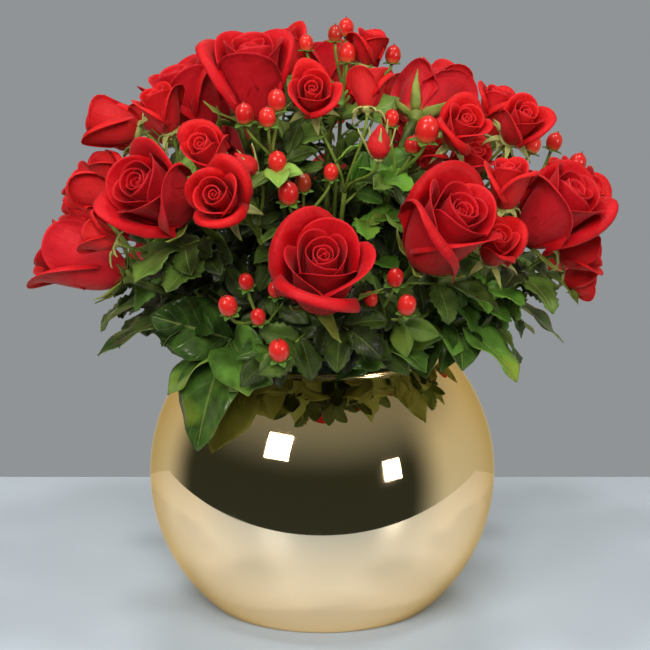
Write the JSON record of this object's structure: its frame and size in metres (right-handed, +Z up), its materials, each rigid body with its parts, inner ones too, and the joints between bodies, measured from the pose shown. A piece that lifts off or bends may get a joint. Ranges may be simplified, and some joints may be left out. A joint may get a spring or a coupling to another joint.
{
  "type": "floral table centerpiece",
  "caption": "Dome of red roses, spray roses, berries and leaves in a round mirror-gold glass bowl, to stand on a table",
  "frame": {"origin": "middle of the bowl's foot, on the surface it stands on", "axes": "+Z up through the bowl's mouth, -Y towards the side the picture shows, +X to the right seen from there"},
  "size_m": [0.3214, 0.3221, 0.3372],
  "materials": {
    "gold_glass": "polished",
    "wet_foam": "matte",
    "rose_petal": "satin",
    "spray_petal": "satin",
    "berry_skin": "gloss",
    "leaf": "satin",
    "stem_and_calyx": "satin"
  },
  "bodies": {
    "root": {"glass_bowl": "gold_glass", "floral_foam": "wet_foam", "rose_01": "rose_petal", "rose_02": "rose_petal", "rose_03": "rose_petal", "rose_04": "rose_petal", "rose_05": "rose_petal", "rose_06": "rose_petal", "rose_07": "rose_petal", "rose_08": "rose_petal", "rose_09": "rose_petal", "rose_10": "rose_petal", "rose_11": "rose_petal", "rose_12": "rose_petal", "rose_13": "rose_petal", "rose_14": "rose_petal", "rose_15": "rose_petal", "spray_rose_01": "spray_petal", "spray_rose_02": "spray_petal", "spray_rose_03": "spray_petal", "spray_rose_04": "spray_petal", "spray_rose_05": "spray_petal", "spray_rose_06": "spray_petal", "spray_rose_07": "spray_petal", "spray_rose_08": "spray_petal", "spray_rose_09": "spray_petal", "spray_rose_10": "spray_petal", "spray_rose_11": "spray_petal", "spray_rose_12": "spray_petal", "spray_rose_13": "spray_petal", "spray_rose_14": "spray_petal", "spray_rose_15": "spray_petal", "spray_rose_16": "spray_petal", "spray_rose_17": "spray_petal", "spray_rose_18": "spray_petal", "berry_sprig_01": "berry_skin", "berry_sprig_02": "berry_skin", "berry_sprig_03": "berry_skin", "berry_sprig_04": "berry_skin", "berry_sprig_05": "berry_skin", "berry_sprig_06": "berry_skin", "berry_sprig_07": "berry_skin", "berry_sprig_08": "berry_skin", "berry_sprig_09": "berry_skin", "berry_sprig_10": "berry_skin", "berry_sprig_11": "berry_skin", "leaf_trail_01": "leaf", "leaf_trail_02": "leaf", "leaf_trail_03": "leaf", "leaf_trail_04": "leaf", "leaf_trail_05": "leaf", "leaf_trail_06": "leaf", "leaf_trail_07": "leaf", "leaf_trail_08": "leaf", "leaf_trail_09": "leaf", "leaf_trail_10": "leaf", "leaf_trail_11": "leaf", "leaf_trail_12": "leaf", "leaf_trail_13": "leaf"}
  },
  "joints": []
}
